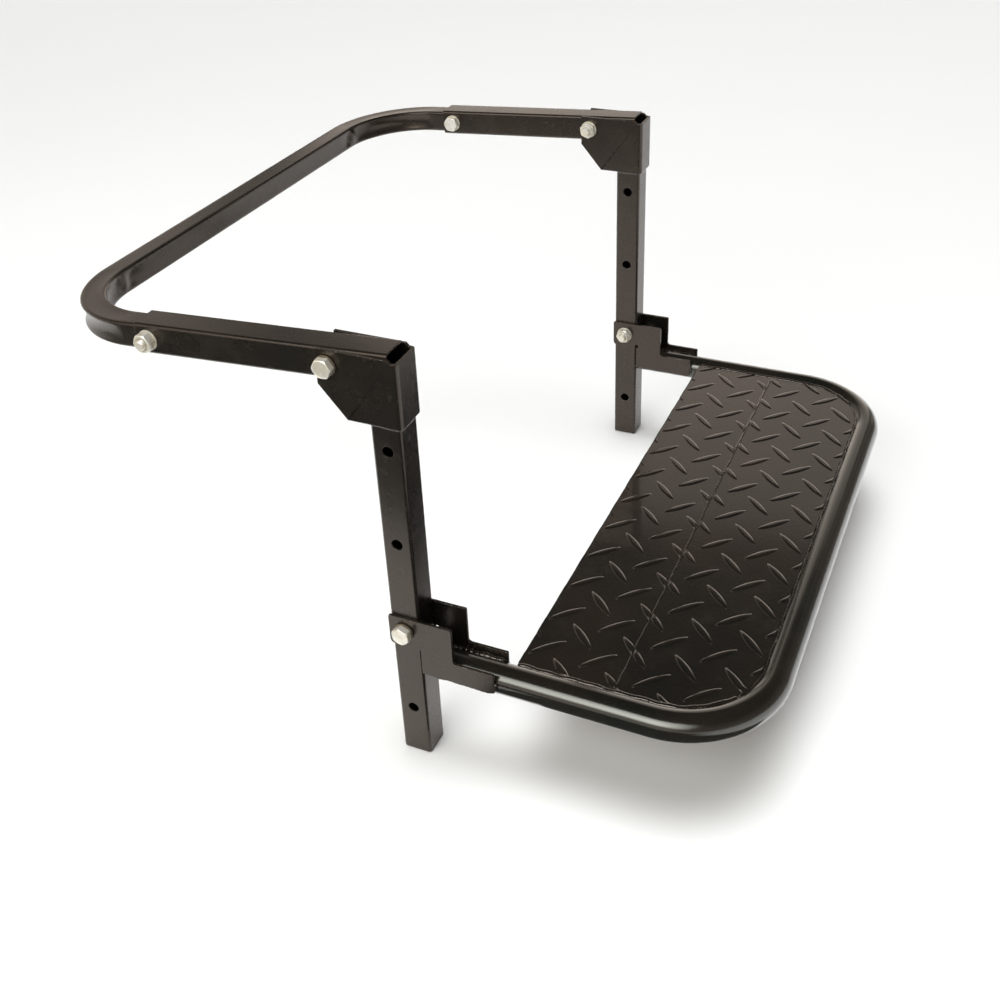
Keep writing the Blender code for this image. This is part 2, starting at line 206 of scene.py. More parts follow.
def relocate(piece, place):
    # carries every vertex from the local frame to its place on the object
    points = np.empty(len(piece.data.vertices) * 3)
    piece.data.vertices.foreach_get("co", points)
    piece.data.vertices.foreach_set("co", moved(points.reshape(-1, 3), place).ravel())
    piece.data.update()


def roundRing(radius, count=48):
    # points at equal turns round a circle
    turn = np.linspace(0, 2 * np.pi, count, endpoint=False)
    return radius * np.stack([np.cos(turn), np.sin(turn)], -1)


def rod(centre, radius, halfLength=0.1, count=32):
    # circle of that radius in x and z carried along y
    x, z = roundRing(radius, count).T
    ring = np.stack([x, 0 * x, z], -1)
    ends = np.array([-halfLength, halfLength])[:, None, None] * np.array([0, 1, 0])
    return shell(ring[None] + ends + np.array(centre), capStart=True, capEnd=True)


def roundedOutline(corners, steps=5):
    # each corner becomes a quadratic curve between the points where an arc of its radius would touch
    corners = np.array(corners, float)
    here, radius = corners[:, :2], corners[:, 2:]
    toLast = np.roll(here, 1, 0) - here
    toNext = np.roll(here, -1, 0) - here
    toLast /= np.linalg.norm(toLast, axis=1, keepdims=True)
    toNext /= np.linalg.norm(toNext, axis=1, keepdims=True)
    cosine = (toLast * toNext).sum(1, keepdims=True)
    reach = radius * np.sqrt((1 + cosine) / np.maximum(1 - cosine, 1e-9))
    t = np.linspace(0, 1, steps)[None, :, None]
    first, last = (here + toLast * reach)[:, None], (here + toNext * reach)[:, None]
    curve = (1 - t) ** 2 * first + 2 * t * (1 - t) * here[:, None] + t**2 * last
    points = curve.reshape(-1, 2)
    keep = np.linalg.norm(points - np.roll(points, 1, 0), axis=1) > 1e-6
    return points[keep]


def plate(outline, low, high, axis="y"):
    # outline in x and z extruded along y, or in x and y extruded along z
    size = (2, len(outline))
    a, b = np.broadcast_to(outline[:, 0], size), np.broadcast_to(outline[:, 1], size)
    level = np.broadcast_to(np.array([low, high])[:, None], size)
    points = np.stack([a, level, b] if axis == "y" else [a, b, level], -1)
    return shell(points, capStart=True, capEnd=True)


def squareRing(half, corner, perSide=6, perCorner=5):
    # a quarter is a corner arc and the side after it; the ring is four quarters, each turned 90 degrees
    turn = np.linspace(0, np.pi / 2, perCorner)
    arc = half - corner + corner * np.stack([np.cos(turn), np.sin(turn)], -1)
    side = np.linspace(arc[-1], [-(half - corner), half], perSide + 2)[1:-1]
    quarter = np.concatenate([arc, side])
    turns = [np.array([[0, 1], [-1, 0]]), np.array([[-1, 0], [0, -1]]), np.array([[0, -1], [1, 0]])]
    return np.concatenate([quarter] + [quarter @ m for m in turns])


def endRounding(length, edge, inner):
    # stations along a bar with three close ones at each end, and how far the surface draws in at each
    ease = np.array([0, 0.3, 1.0])
    stations = np.concatenate([ease * edge, inner[(inner > edge) & (inner < length - edge)],
                               length - ease[::-1] * edge])
    inset = np.zeros(len(stations))
    inset[:3], inset[-3:] = ease[::-1] * edge, ease * edge
    return stations, inset


def carried(rings, origins, across, up):
    # ring's first coordinate runs along across and its second along up, from each origin
    return origins[:, None] + rings[..., :1] * across[:, None] + rings[..., 1:] * up[:, None]


def barShell(outerRings, innerRings, origins, across, up):
    # outside from end to end, then the bore back again, closed over both cut ends
    outer = carried(outerRings, origins, across, up)
    inner = carried(innerRings, origins, across, up)
    return shell(np.concatenate([outer, inner[::-1]]), wrapRows=True)


def shrunk(ring, inset):
    # the ring moved inwards by each station's inset, measured on the flats
    half = np.abs(ring).max()
    return ring[None] * (1 - inset / half)[:, None, None]


def straightBar(start, end, half, wall, corner, edge=0.5 * mm):
    # rounded square ring carried along local x, and a smaller one back again for the bore
    length = end - start
    stations, inset = endRounding(length, edge, np.linspace(0, length, 14))
    outer = shrunk(squareRing(half, corner), inset)
    bore = shrunk(squareRing(half - wall, max(corner - wall, 0.6 * mm)), -inset)
    origins = np.stack([start + stations, 0 * stations, 0 * stations], -1)
    across = np.broadcast_to([0, -1.0, 0], origins.shape)
    up = np.broadcast_to([0, 0, 1.0], origins.shape)
    return barShell(outer, bore, origins, across, up)


def uPath(openX, farX, halfWidth, bend, s):
    # distance s along straight, quarter turn, straight, quarter turn, straight: the turning angle
    # grows only inside the bends, and the core point slides only along the straights
    reach = 1 if farX > openX else -1
    leg = abs(farX - openX) - bend
    turn = bend * np.pi / 2
    cross = 2 * (halfWidth - bend)
    first = np.clip((s - leg) / bend, 0, np.pi / 2)
    second = np.clip((s - leg - turn - cross) / bend, 0, np.pi / 2)
    out = np.clip(s, 0, leg) - np.clip(s - leg - 2 * turn - cross, 0, leg)
    acrossAngle = first + second
    across = np.stack([reach * np.sin(acrossAngle), -np.cos(acrossAngle), 0 * s], -1)
    core = np.stack([openX + reach * out, bend - halfWidth + np.clip(s - leg - turn, 0, cross), 0 * s], -1)
    return core + bend * across, across, first, second, 2 * leg + 2 * turn + cross


def wave(s, seed, wavelengths, amplitude):
    # sum of sines with fixed phases, for small unevenness along a weld
    steps = np.arange(1, len(wavelengths) + 1)
    phases = np.mod(seed * 12.9898 * steps, 2 * np.pi)
    parts = np.sin(2 * np.pi * s[:, None] / np.array(wavelengths) + phases)
    return amplitude * parts.mean(1)


def bead(path, radius, seed, ripple, squash=1.0, count=10, spacing=0.9 * mm):
    # round bead along a path: its radius swells and shrinks, and it closes to a point at both ends
    path = np.array(path, float)
    length = np.concatenate([[0], np.cumsum(np.linalg.norm(np.diff(path, axis=0), axis=1))])
    total = length[-1]
    s = np.linspace(0, total, max(int(total / spacing), 12))
    centre = np.stack([np.interp(s, length, path[:, k]) for k in range(3)], -1)
    ahead = np.gradient(centre, axis=0)
    ahead /= np.linalg.norm(ahead, axis=1, keepdims=True)
    helper = np.where(np.abs(ahead[:, 2:]) > 0.8, [1.0, 0, 0], [0, 0, 1.0])
    side = np.cross(ahead, helper)
    side /= np.linalg.norm(side, axis=1, keepdims=True)
    lift = np.cross(side, ahead)
    size = radius * (1 + wave(s, seed, [3.1 * mm, 5.7 * mm, 17 * mm, 41 * mm], 2 * ripple))
    taper = np.sqrt(np.clip(np.minimum(s, total - s) / (1.5 * radius), 0.0004, 1))
    size = size * taper
    centre = centre + side * wave(s, seed + 3, [23 * mm, 61 * mm], 0.35 * radius)[:, None]
    rings = size[:, None, None] * roundRing(1.0, count) * [1, squash]
    return shell(carried(rings, centre, side, lift), capStart=True, capEnd=True)


class Signal:
    # wraps a socket, so that an expression on values adds its Math nodes
    def __init__(self, tree, socket):
        self.tree, self.socket = tree, socket

    def math(self, operation, first, second, clamp=False):
        settings = {"operation": operation, "use_clamp": clamp}
        return makeNode(self.tree, "ShaderNodeMath", settings, {0: first, 1: second})

    def __add__(self, other):
        return self.math("ADD", self, other)

    def __sub__(self, other):
        return self.math("SUBTRACT", self, other)

    def __rsub__(self, other):
        return self.math("SUBTRACT", other, self)

    def __mul__(self, other):
        return self.math("MULTIPLY", self, other)

    __radd__ = __add__
    __rmul__ = __mul__

    def clamped(self):
        # held between 0 and 1
        return self.math("ADD", self, 0.0, clamp=True)

    def between(self, low, high):
        # 0 below low, 1 above high, and a smooth rise from one to the other
        return makeNode(self.tree, "ShaderNodeMapRange", {"interpolation_type": "SMOOTHSTEP"},
                        {0: self, 1: low, 2: high, 3: 0.0, 4: 1.0}, 0)


def plug(tree, socket, value):
    # links a signal to the socket, or sets a constant on it
    if isinstance(value, Signal):
        tree.links.new(value.socket, socket)
    else:
        socket.default_value = value


def makeNode(tree, kind, settings, inputs, output=0):
    # a node's type, its settings, the values or links of its sockets, and the output that is wanted
    node = tree.nodes.new(kind)
    for key, value in settings.items():
        setattr(node, key, value)
    for key, value in inputs.items():
        plug(tree, node.inputs[key], value)
    return Signal(tree, node.outputs[output])


def newMaterial(name):
    material = bpy.data.materials.new(name)
    material.use_nodes = True
    tree = material.node_tree
    shader = tree.nodes["Principled BSDF"]
    place = makeNode(tree, "ShaderNodeTexCoord", {}, {}, "Object")
    return material, tree, shader, place


def noise(tree, place, scale, detail, roughness=0.5, stretch=None):
    # fractal noise on the piece's own coordinates, squeezed where a stretch is given
    if stretch:
        place = makeNode(tree, "ShaderNodeMapping", {}, {"Vector": place, "Scale": stretch})
    return makeNode(tree, "ShaderNodeTexNoise", {},
                    {"Vector": place, "Scale": scale, "Detail": detail, "Roughness": roughness})


def mixColour(tree, amount, first, second):
    # first where the amount is 0, second where it is 1
    first, second = [c if isinstance(c, Signal) else (*c, 1) for c in (first, second)]
    return makeNode(tree, "ShaderNodeMix", {"data_type": "RGBA"}, {0: amount, 6: first, 7: second}, 2)


def bumped(tree, shader, height, distance):
    normal = makeNode(tree, "ShaderNodeBump", {}, {"Strength": 1.0, "Distance": distance, "Height": height})
    plug(tree, shader.inputs["Normal"], normal)


def paint(name, look):
    # sprayed black enamel: cloudy warm tone, dust in patches, orange peel, fine scratches and worn spots
    material, tree, shader, place = newMaterial(name)
    cloud = noise(tree, place, 9, 4)
    patches = noise(tree, place, 26, 5, 0.62)
    grain = noise(tree, place, 900, 2)
    peel = noise(tree, place, look["peelScale"], 2, 0.45)
    scratch = noise(tree, place, 60, 2, 0.5, stretch=look["scratchStretch"]).between(0.66, 0.70)
    dust = patches.between(0.50, 0.74) * look["dust"] + grain.between(0.60, 0.78) * 0.25 * look["dust"]
    chips = noise(tree, place, 170, 4, 0.7) + 0.25 * patches
    wear = chips.between(look["wearFrom"], look["wearFrom"] + 0.06)
    colour = mixColour(tree, cloud.between(0.35, 0.65), look["deep"], look["warm"])
    colour = mixColour(tree, (dust + scratch * look["scratch"]).clamped(), colour, look["dustColour"])
    colour = mixColour(tree, wear * look["wear"], colour, look["bare"])
    plug(tree, shader.inputs["Base Color"], colour)
    rough = (look["roughness"] + (patches - 0.5) * look["roughnessSpread"] + dust * 0.5
             + scratch * look["scratch"] + wear * look["wear"] * 0.2)
    plug(tree, shader.inputs["Roughness"], rough.clamped())
    shader.inputs["IOR"].default_value = look["ior"]
    shader.inputs["Specular Tint"].default_value = (*look["gleam"], 1)
    shader.inputs["Coat Roughness"].default_value = look["coatRoughness"]
    shader.inputs["Coat IOR"].default_value = 1.5
    plug(tree, shader.inputs["Coat Weight"], (look["coat"] - dust * 0.6 - wear * look["wear"]).clamped())
    height = peel * look["peel"] + grain * 0.12 - scratch * look["scratch"] - wear * look["wear"]
    bumped(tree, shader, height, look["bumpDistance"])
    return material


paintLook = {
    "deep": (0.0052, 0.0055, 0.0045), "warm": (0.0105, 0.0082, 0.0062), "bare": (0.16, 0.15, 0.14),
    "dustColour": (0.085, 0.072, 0.060), "dust": 0.05, "gleam": (1.0, 0.80, 0.68), "ior": 1.64,
    "roughness": 0.27, "roughnessSpread": 0.08, "coat": 0.16, "coatRoughness": 0.14,
    "scratch": 0.035, "scratchStretch": (1.0, 9.0, 1.0), "wear": 0.0, "wearFrom": 0.80,
    "peelScale": 420, "peel": 0.6, "bumpDistance": 0.1 * mm}
framePaint = paint("frameSatinBlack", paintLook)
edgePaint = paint("framePaintOnEdges", {**paintLook, "wear": 0.85, "wearFrom": 0.70, "dust": 0.25})
tubePaint = paint("stepTubeGlossBlack", {**paintLook, "roughness": 0.20, "coat": 1.0, "coatRoughness": 0.13,
                                        "gleam": (0.98, 1.0, 0.90), "scratch": 0.01})
deckPaint = paint("deckGlossBlack", {**paintLook, "roughness": 0.22, "coat": 1.0, "coatRoughness": 0.06,
                                     "peelScale": 260, "dust": 0.04, "scratch": 0.015})
weldPaint = paint("paintedWeld", {**paintLook, "roughness": 0.17, "coat": 1.0, "coatRoughness": 0.07,
                                  "dust": 0.15, "peelScale": 700, "peel": 0.8, "bumpDistance": 0.14 * mm,
                                  "wear": 0.5, "wearFrom": 0.76})


def zincPlate(name, look):
    # bright zinc: faint yellow clouds, fine streaks along the axis, dull film and small dark specks
    material, tree, shader, place = newMaterial(name)
    cloud = noise(tree, place, 110, 3)
    film = noise(tree, place, 260, 4, 0.6)
    speck = noise(tree, place, 900, 2).between(0.66, 0.72)
    brushed = noise(tree, place, 1400, 2, 0.5, stretch=(1.0, 0.15, 1.0))
    colour = mixColour(tree, cloud.between(0.35, 0.65), look["pale"], look["tint"])
    colour = mixColour(tree, speck * 0.55 + film.between(0.55, 0.75) * 0.25, colour, look["grime"])
    plug(tree, shader.inputs["Base Color"], colour)
    plug(tree, shader.inputs["Metallic"], (look["metal"] - speck * 0.4).clamped())
    plug(tree, shader.inputs["Roughness"], (look["roughness"] + (film - 0.5) * 0.3 + speck * 0.3).clamped())
    bumped(tree, shader, brushed * 0.5 + film * 0.5 - speck, look["bumpDistance"])
    return material


zincLook = {"pale": (0.84, 0.82, 0.76), "tint": (0.76, 0.71, 0.58), "grime": (0.16, 0.13, 0.09),
            "roughness": 0.42, "metal": 0.62, "bumpDistance": 0.06 * mm}
zinc = zincPlate("zincPlated", zincLook)
washerZinc = zincPlate("zincWasher", {**zincLook, "roughness": 0.45, "pale": (0.60, 0.57, 0.50)})
dullZinc = zincPlate("zincUnderHead", {**zincLook, "roughness": 0.5, "pale": (0.20, 0.17, 0.12),
                                       "tint": (0.13, 0.10, 0.07)})
print("materials made:", len(bpy.data.materials))


hoopSizes = {
    "half": 12.5 * mm, "wall": 1.5 * mm, "corner": 2.4 * mm,
    "openX": -90 * mm, "reach": 313 * mm, "bend": 92 * mm,
    "outerSink": 2.6 * mm, "innerSink": 1.9 * mm, "crown": 0.5 * mm,
    "crease": 2.1 * mm, "creaseWidth": 10 * mm, "fineBeyond": 12 * mm,
    "slot": (-195.6 * mm, -104.4 * mm), "slotHalf": 5.6 * mm}


def hoopRings(ring, depth, first, second, s, creases, sizes):
    # in the bends the outer and inner walls sag inwards as 1 - (height / half flat) squared, and where
    # each bend meets the cross bar the inner wall has a ripple: x times a bell curve of x; the top and
    # bottom draw in by the crown, as 1 - (distance across / half flat) squared; the mask is 0 on the
    # straights and 1 through most of each bend
    mask = 1 - (1 - np.sin(2 * first)) ** 3 + 1 - (1 - np.sin(2 * second)) ** 3
    flat = sizes["half"] - sizes["corner"]
    profile = np.clip(1 - (ring[:, 1] / flat) ** 2, 0, 1)
    onOuter = ring[:, 0] > 0.8 * sizes["half"] * depth
    onInner = ring[:, 0] < -0.8 * sizes["half"] * depth
    shift = -sizes["outerSink"] * mask[:, None] * (profile * onOuter)[None]
    shift = shift + sizes["innerSink"] * mask[:, None] * (profile * onInner)[None]
    for centre, sign in creases:
        x = (s - centre) / sizes["creaseWidth"] * sign
        shift = shift + sizes["crease"] * (2.2 * x * np.exp(-(x**2)))[:, None] * (profile * onInner)[None]
    crown = sizes["crown"] * mask[:, None] * np.clip(1 - (ring[:, 0] / flat) ** 2, 0, 1)[None]
    return np.stack([ring[None, :, 0] + shift, ring[None, :, 1] - np.sign(ring[None, :, 1]) * crown], -1)


def buildHoop(sizes):
    # square ring carried along the U, with close stations in the bends, then slotted through both arms
    bendLength = sizes["bend"] * np.pi / 2
    legLength = sizes["reach"] + sizes["openX"] - sizes["bend"]
    cross = 2 * (armY - sizes["bend"])
    total = 2 * legLength + 2 * bendLength + cross
    creases = [(legLength + bendLength, 1), (legLength + bendLength + cross, -1)]
    coarse = np.linspace(0, total, 60)
    beyond = sizes["fineBeyond"]
    fine = [np.linspace(start - beyond, start + bendLength + beyond, 72)
            for start in (legLength, legLength + bendLength + cross)]
    stations, inset = endRounding(total, 0.4 * mm, np.unique(np.concatenate([coarse, *fine])))
    origins, across, first, second, _ = uPath(sizes["openX"], -sizes["reach"], armY, sizes["bend"],
                                              stations)
    up = np.broadcast_to([0, 0, 1.0], origins.shape)
    ring = squareRing(sizes["half"], sizes["corner"], perSide=9)
    bore = squareRing(sizes["half"] - sizes["wall"], 1.0 * mm, perSide=9)
    scale = (1 - inset / sizes["half"])[:, None, None]
    outer = hoopRings(ring, 1, first, second, stations, creases, sizes) * scale
    inner = hoopRings(bore, 0.85, first, second, stations, creases, sizes) / scale
    piece = makePiece("hoop_bar", [barShell(outer, inner, origins, across, up)], "hoop", [framePaint],
                      ["hoop"])
    slotHalf = sizes["slotHalf"]
    low, high = sizes["slot"]
    corner = slotHalf * 0.99  # just short of a half circle at each end
    outline = roundedOutline([(low, -slotHalf, corner), (high, -slotHalf, corner),
                              (high, slotHalf, corner), (low, slotHalf, corner)])
    cutOut(piece, [plate(outline, -0.4, 0.4)])  # through both arms at once
    relocate(piece, armFrame)
    sharpen(piece, 50)


sleeveSizes = {"mouth": -204 * mm, "heel": 58.5 * mm, "wall": 2 * mm, "corner": 3 * mm,
               "lock": -190 * mm, "hole": 5.6 * mm, "softEdge": 0.3 * mm}


def buildSleeve(label, side, sizes):
    # square tube drilled across for its pivot bolt and its lock bolt
    bar = straightBar(sizes["mouth"], sizes["heel"], halfStock, sizes["wall"], sizes["corner"])
    piece = makePiece(f"sleeve_bar_{label}", [bar], "arm_sleeves", [framePaint, edgePaint],
                      [f"sleeve_{label}"])
    cutOut(piece, [rod((x, 0, 0), sizes["hole"]) for x in (0, sizes["lock"])])
    relocate(piece, shifted(armFrame, 0, side * armY, 0))
    rounded(piece, sizes["softEdge"], 2, 60, 1)


buildHoop(hoopSizes)
for label, side in sides.items():
    buildSleeve(label, side, sleeveSizes)
print("hoop and sleeves made")


legSizes = {"wall": 2 * mm, "corner": 3 * mm, "firstHole": 57 * mm, "pitch": 100 * mm, "holes": 4,
            "hole": 5.5 * mm, "softEdge": 0.4 * mm}


def buildLeg(label, side, sizes):
    # upright square tube drilled across at equal steps
    low, high = nodeBox(f"leg_{label}")
    bar = straightBar(0, high[2] - low[2], halfStock, sizes["wall"], sizes["corner"], 0.6 * mm)
    piece = makePiece(f"leg_bar_{label}", [bar], "upright_frame", [framePaint, edgePaint],
                      [f"leg_{label}"])
    upright = localFrame((low[0] + halfStock, side * armY, low[2]), (0, 0, 1), (-1, 0, 0))
    cutOut(piece, [rod((sizes["firstHole"] + k * sizes["pitch"], 0, 0), sizes["hole"])
                   for k in range(sizes["holes"])])
    relocate(piece, upright)
    rounded(piece, sizes["softEdge"], 2, 60, 1)


bracketSizes = {"front": -10.5 * mm, "rise": 15 * mm, "chamferFrom": -20 * mm, "chamferTo": 15.5 * mm,
                "low": -51.247 * mm, "webRise": 12 * mm, "fold": 2 * mm, "thick": 3 * mm, "hole": 5.6 * mm,
                "softEdge": 0.45 * mm}


def buildBracket(label, side, sizes):
    # the plan outline of the folded channel drawn up to a block, then trimmed to the side outline
    middle = armFrame[:, 3] + np.array([0, side * armY, 0])
    front, rise, low = sizes["front"], sizes["rise"], sizes["low"]
    web = legHigh[0] - middle[0] + 0.3 * mm
    fold, thick = sizes["fold"], sizes["thick"]
    inside, outside = plateInside, plateOutside
    plan = roundedOutline([
        (front, -outside, 0), (web + thick, -outside, fold + thick), (web + thick, outside, fold + thick),
        (front, outside, 0), (front, inside, 0), (web, inside, fold), (web, -inside, fold),
        (front, -inside, 0)], 9)
    piece = makePiece(f"corner_channel_{label}", [plate(plan, low - mm, rise + mm, "z")], "upright_frame",
                      [framePaint, edgePaint], [f"corner_bracket_{label}"])
    back = web + thick + 2 * mm
    drop = web - 3 * mm
    outline = roundedOutline([
        (front - mm, rise, 0), (front - mm, sizes["chamferFrom"] + mm, 0),
        (sizes["chamferTo"], low, 1.5 * mm), (back, low, 0), (back, sizes["webRise"], 0),
        (drop, sizes["webRise"], 0), (drop - 3 * mm, rise, 0)])
    cutOut(piece, [plate(outline, -0.05, 0.05)], keepInside=True)
    cutOut(piece, [rod((0, 0, 0), sizes["hole"])])
    relocate(piece, np.column_stack([np.eye(3), middle]))
    rounded(piece, sizes["softEdge"], 3, 40, 1)


cornerWeld = {"bead": 1.7 * mm, "turn": 3.4 * mm, "proud": 0.9 * mm, "below": 0.6 * mm}


def bracketWeld(label, side, sizes):
    # bead under the bracket's edge: across the leg's near face, over its outer face, across its far face
    middle = armFrame[:, 3] + np.array([0, side * armY, 0])
    level = middle[2] + bracketSizes["low"] - sizes["below"]
    r = sizes["turn"]
    x0, x1 = legLow[0] + 1 * mm, legHigh[0] + sizes["proud"]
    y = halfStock + sizes["proud"]
    turn = np.linspace(0, np.pi / 2, 7)[:, None]
    cornerA = np.concatenate([x1 - r + r * np.sin(turn), -y + r - r * np.cos(turn)], 1)
    cornerB = np.concatenate([x1 - r + r * np.cos(turn), y - r + r * np.sin(turn)], 1)
    flat = np.concatenate([[[x0, -y]], cornerA, cornerB, [[x0, y]]])
    path = np.column_stack([flat[:, 0], flat[:, 1] + middle[1], np.full(len(flat), level)])
    makePiece(f"corner_weld_{label}", [bead(path, sizes["bead"], seed=3 + side, ripple=0.12)],
              "upright_frame", [weldPaint])


for label, side in sides.items():
    buildLeg(label, side, legSizes)
    buildBracket(label, side, bracketSizes)
    bracketWeld(label, side, cornerWeld)
print("legs and corner brackets made")


cheekSizes = {
    "hole": 5.6 * mm, "relief": 2.2 * mm, "reliefPlace": (16.6 * mm, 0, -16 * mm), "softEdge": 0.4 * mm,
    "corners": [(-16, 16, 2), (-16, -18, 6), (16, -18, 0), (16, -47, 1), (91, -47, 1.5), (91, -24.5, 1.5),
                (49.5, -24.5, 4), (49.5, 16, 2)]}  # x, z and corner radius in millimetres
tubeSizes = {"radius": 15 * mm, "wall": 2 * mm, "start": 15.3 * mm, "reach": 330 * mm, "bend": 92 * mm,
             "drop": 42.5 * mm}
tubeFrame = shifted(stepFrame, 0, 0, -tubeSizes["drop"])


def buildCheek(where, label, side, face, sizes):
    # stepped flat plate on one face of the leg, with a small relief hole on the inner ones
    outline = roundedOutline([[v * mm for v in corner] for corner in sizes["corners"]], 7)
    near = min(face * plateInside, face * plateOutside)
    piece = makePiece(f"step_plate_{where}_{label}", [plate(outline, near, near + 3 * mm)], "step_platform",
                      [framePaint, edgePaint], [f"step_cheek_{where}_{label}"])
    tools = [rod((0, 0, 0), sizes["hole"])]
    if where == "inner":
        tools.append(rod(sizes["reliefPlace"], sizes["relief"], count=20))
    cutOut(piece, tools)
    relocate(piece, shifted(stepFrame, 0, side * armY, 0))
    rounded(piece, sizes["softEdge"], 3, 35, 1)


def buildStepTube(sizes):
    # round ring carried along the U, and a smaller one back again for the bore
    total = uPath(sizes["start"], sizes["reach"], armY, sizes["bend"], np.zeros(1))[4]
    stations, inset = endRounding(total, 0.5 * mm, np.linspace(0, total, 260))
    origins, across, _, _, _ = uPath(sizes["start"], sizes["reach"], armY, sizes["bend"], stations)
    up = np.broadcast_to([0, 0, 1.0], origins.shape)
    outer = shrunk(roundRing(sizes["radius"]), inset)
    bore = shrunk(roundRing(sizes["radius"] - sizes["wall"]), -inset)
    makePiece("step_tube_bar", [barShell(outer, bore, origins, across, up)], "step_platform",
              [tubePaint], ["step_tube"], tubeFrame)


for label, side in sides.items():
    buildCheek("outer", label, side, side, cheekSizes)
    buildCheek("inner", label, side, -side, cheekSizes)
buildStepTube(tubeSizes)
print("step brackets and tube made")


deckSizes = {
    "left": 102 * mm, "seam": 198.2 * mm, "gap": 0.3 * mm, "thick": 3 * mm, "rise": 11 * mm,
    "inset": 13.0 * mm, "reach": tubeSizes["reach"], "bend": tubeSizes["bend"], "softEdge": 0.5 * mm,
    "treadLength": 40 * mm, "treadWidth": 8.4 * mm, "treadHeight": 0.9 * mm, "treadSkirt": 0.3 * mm,
    "innerPattern": (119.5 * mm, 51.5 * mm, -274 * mm, 52.5 * mm),  # first x, step in x, first y, step in y
    "outerPattern": (129 * mm, 48.3 * mm, -281 * mm, 55.1 * mm)}


def deckHalfWidth(x, sizes):
    # straight edge, then a quarter circle round the bend's centre
    radius = sizes["bend"] - sizes["inset"]
    past = np.clip(x - (sizes["reach"] - sizes["bend"]), 0, radius)
    return armY - sizes["bend"] + np.sqrt(np.maximum(radius**2 - past**2, 0))


def panelOutline(low, high, sizes):
    # the half width at each station from low to high, and the same mirrored on the way back
    corner = sizes["reach"] - sizes["bend"]
    radius = sizes["bend"] - sizes["inset"]
    along = np.concatenate([[low], corner + radius * np.sin(np.linspace(0, np.pi / 2, 24))])
    along = np.unique(np.clip(along, low, high))
    half = deckHalfWidth(along, sizes)
    return np.concatenate([np.column_stack([along, -half]), np.column_stack([along, half])[::-1]])


def treads(low, high, sizes, pattern):
    # blunt lens with a flat top: half width falls as 1 - 0.8 t squared, height as 1 - |w|^7 across and
    # 1 - t^10 along; one family of lenses slants at +45 degrees and the other, half a pitch on, at -45;
    # those that meet the panel's edge are flattened against it
    t = np.sin(np.linspace(-np.pi / 2, np.pi / 2, 9))[:, None]
    w = np.sin(np.linspace(-np.pi / 2, np.pi / 2, 9))[None]
    across = sizes["treadWidth"] / 2 * (1 - 0.8 * t**2) * w
    heights = sizes["treadHeight"] * (1 - t**10) * (1 - np.abs(w) ** 7)
    skirt = np.full((len(t), 1), -sizes["treadSkirt"])
    across = np.concatenate([across[:, :1], across, across[:, -1:]], 1)
    heights = np.concatenate([skirt, heights, skirt], 1)
    along = np.broadcast_to(sizes["treadLength"] / 2 * t, across.shape)
    firstX, pitchX, firstY, pitchY = pattern
    found = []
    for slant, offset in ((1, 0.0), (-1, 0.5)):
        x = (along - across) / math.sqrt(2)
        y = slant * (along + across) / math.sqrt(2)
        for i, k in itertools.product(range(-1, 6), range(-1, 13)):
            centreX = firstX + (i + offset) * pitchX
            centreY = firstY + (k + offset) * pitchY
            half = deckHalfWidth(np.clip(centreX, low, high), sizes)
            outside = centreX + x.max() < low + 2 * mm or centreX + x.min() > high - 2 * mm
            if outside or abs(centreY) > half + 9 * mm:
                continue  # too little of it would lie on the panel
            px = np.clip(centreX + x, low + 0.4 * mm, high - 0.2 * mm)
            limit = deckHalfWidth(px, sizes) - 0.3 * mm
            py = np.clip(centreY + y, -limit, limit)
            found.append(shell(np.stack([px, py, heights], -1), capStart=True, capEnd=True))
    return found


def buildPanel(node, low, high, sizes, pattern):
    # flat plate with its treads as a second piece on top
    top = sizes["rise"] - tubeSizes["drop"]
    slab = plate(panelOutline(low, high, sizes), top - sizes["thick"], top, "z")
    piece = makePiece(node.replace("panel", "plate"), [slab], "step_platform", [deckPaint], [node],
                      stepFrame)
    rounded(piece, sizes["softEdge"], 3, 50)
    makePiece(node.replace("panel", "treads"), treads(low, high, sizes, pattern), "step_platform",
              [deckPaint], (), shifted(stepFrame, 0, 0, top))


deckRight = deckSizes["reach"] - deckSizes["inset"]
buildPanel("deck_panel_inner", deckSizes["left"], deckSizes["seam"], deckSizes, deckSizes["innerPattern"])
buildPanel("deck_panel_outer", deckSizes["seam"] + deckSizes["gap"], deckRight, deckSizes,
           deckSizes["outerPattern"])

weldSizes = {
    "arm": 2.5 * mm, "cross": 1.5 * mm, "seam": 1.3 * mm, "stitch": 2.2 * mm, "stitchLength": 28 * mm,
    "inset": 11.7 * mm, "below": 0.5 * mm, "stitchFrom": (112 * mm, 172 * mm, 228 * mm),
    "crossStitches": (-200 * mm, 170 * mm, 5)}  # first, last and how many


